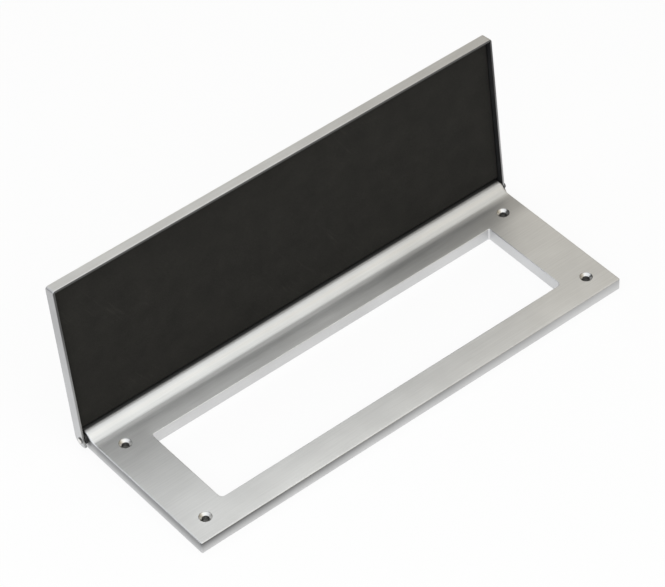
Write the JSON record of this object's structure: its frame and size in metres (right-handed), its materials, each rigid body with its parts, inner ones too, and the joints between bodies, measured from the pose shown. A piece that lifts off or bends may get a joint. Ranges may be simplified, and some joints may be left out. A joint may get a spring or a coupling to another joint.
{
  "type": "letterbox draught excluder",
  "caption": "Framed plate with a long window and countersunk screw holes, and a lipped foam-lined flap hinged on end pins that falls shut over the letter slot.",
  "frame": {"origin": "centre of the screw pattern, on the back face that lies against the door", "axes": "+X along the hinge, +Y from the front edge to the hinge, +Z away from the door"},
  "size_m": [0.2878, 0.1115, 0.1043],
  "materials": {
    "satin_metal": "brushed satin",
    "black_foam": "matte closed-cell sheet",
    "pin_metal": "turned and polished",
    "black_nylon": "matte"
  },
  "bodies": {
    "frame": {"frame_plate": "satin_metal", "hinge_pin_left": "pin_metal", "hinge_pin_right": "pin_metal", "washer_left": "black_nylon", "washer_right": "black_nylon"},
    "flap": {"flap_tray": "satin_metal", "foam_seal": "black_foam"}
  },
  "joints": [
    {"name": "flap_hinge", "type": "hinge", "parent": "frame", "child": "flap", "pos_m": [0, 0.04995, 0.0065], "axis": [1, 0, 0], "range_deg": [0, 96.5]}
  ]
}
